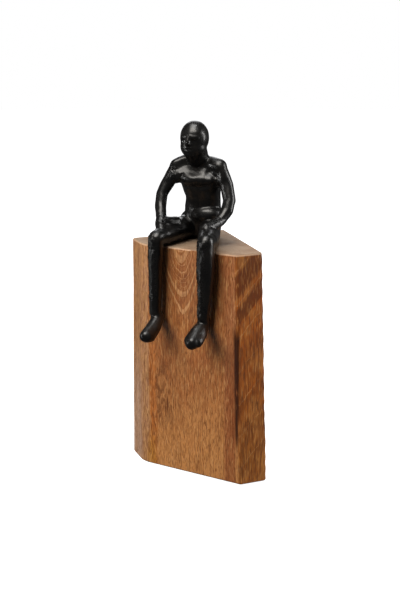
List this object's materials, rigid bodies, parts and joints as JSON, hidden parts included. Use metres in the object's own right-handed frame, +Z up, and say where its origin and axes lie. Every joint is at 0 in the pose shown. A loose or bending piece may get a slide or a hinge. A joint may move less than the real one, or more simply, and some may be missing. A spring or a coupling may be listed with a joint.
{
  "type": "seated figure bookend",
  "caption": "Abstract black cast-metal figure seated on a tall hardwood wedge block with felt feet underneath, used as a bookend or shelf ornament.",
  "frame": {"origin": "on the shelf, in the middle of the box round the whole object", "axes": "+Z up; the figure's shins hang in front of the block's front face, which faces -Y; +X runs to the right along that face as seen from the front"},
  "size_m": [0.14, 0.1396, 0.3123],
  "materials": {
    "mango_wood": "oiled, open-pored hardwood with dark and light streaks",
    "black_paint": "semi-gloss black paint over rough casting",
    "zinc_steel": "zinc plated",
    "black_felt": "pressed felt"
  },
  "bodies": {
    "root": {"wood_block": "mango_wood", "cast_figure": "black_paint", "stud_left": "zinc_steel", "stud_right": "zinc_steel", "felt_foot_right": "black_felt", "felt_foot_left": "black_felt", "felt_foot_back": "black_felt", "felt_foot_centre": "black_felt"}
  },
  "joints": []
}
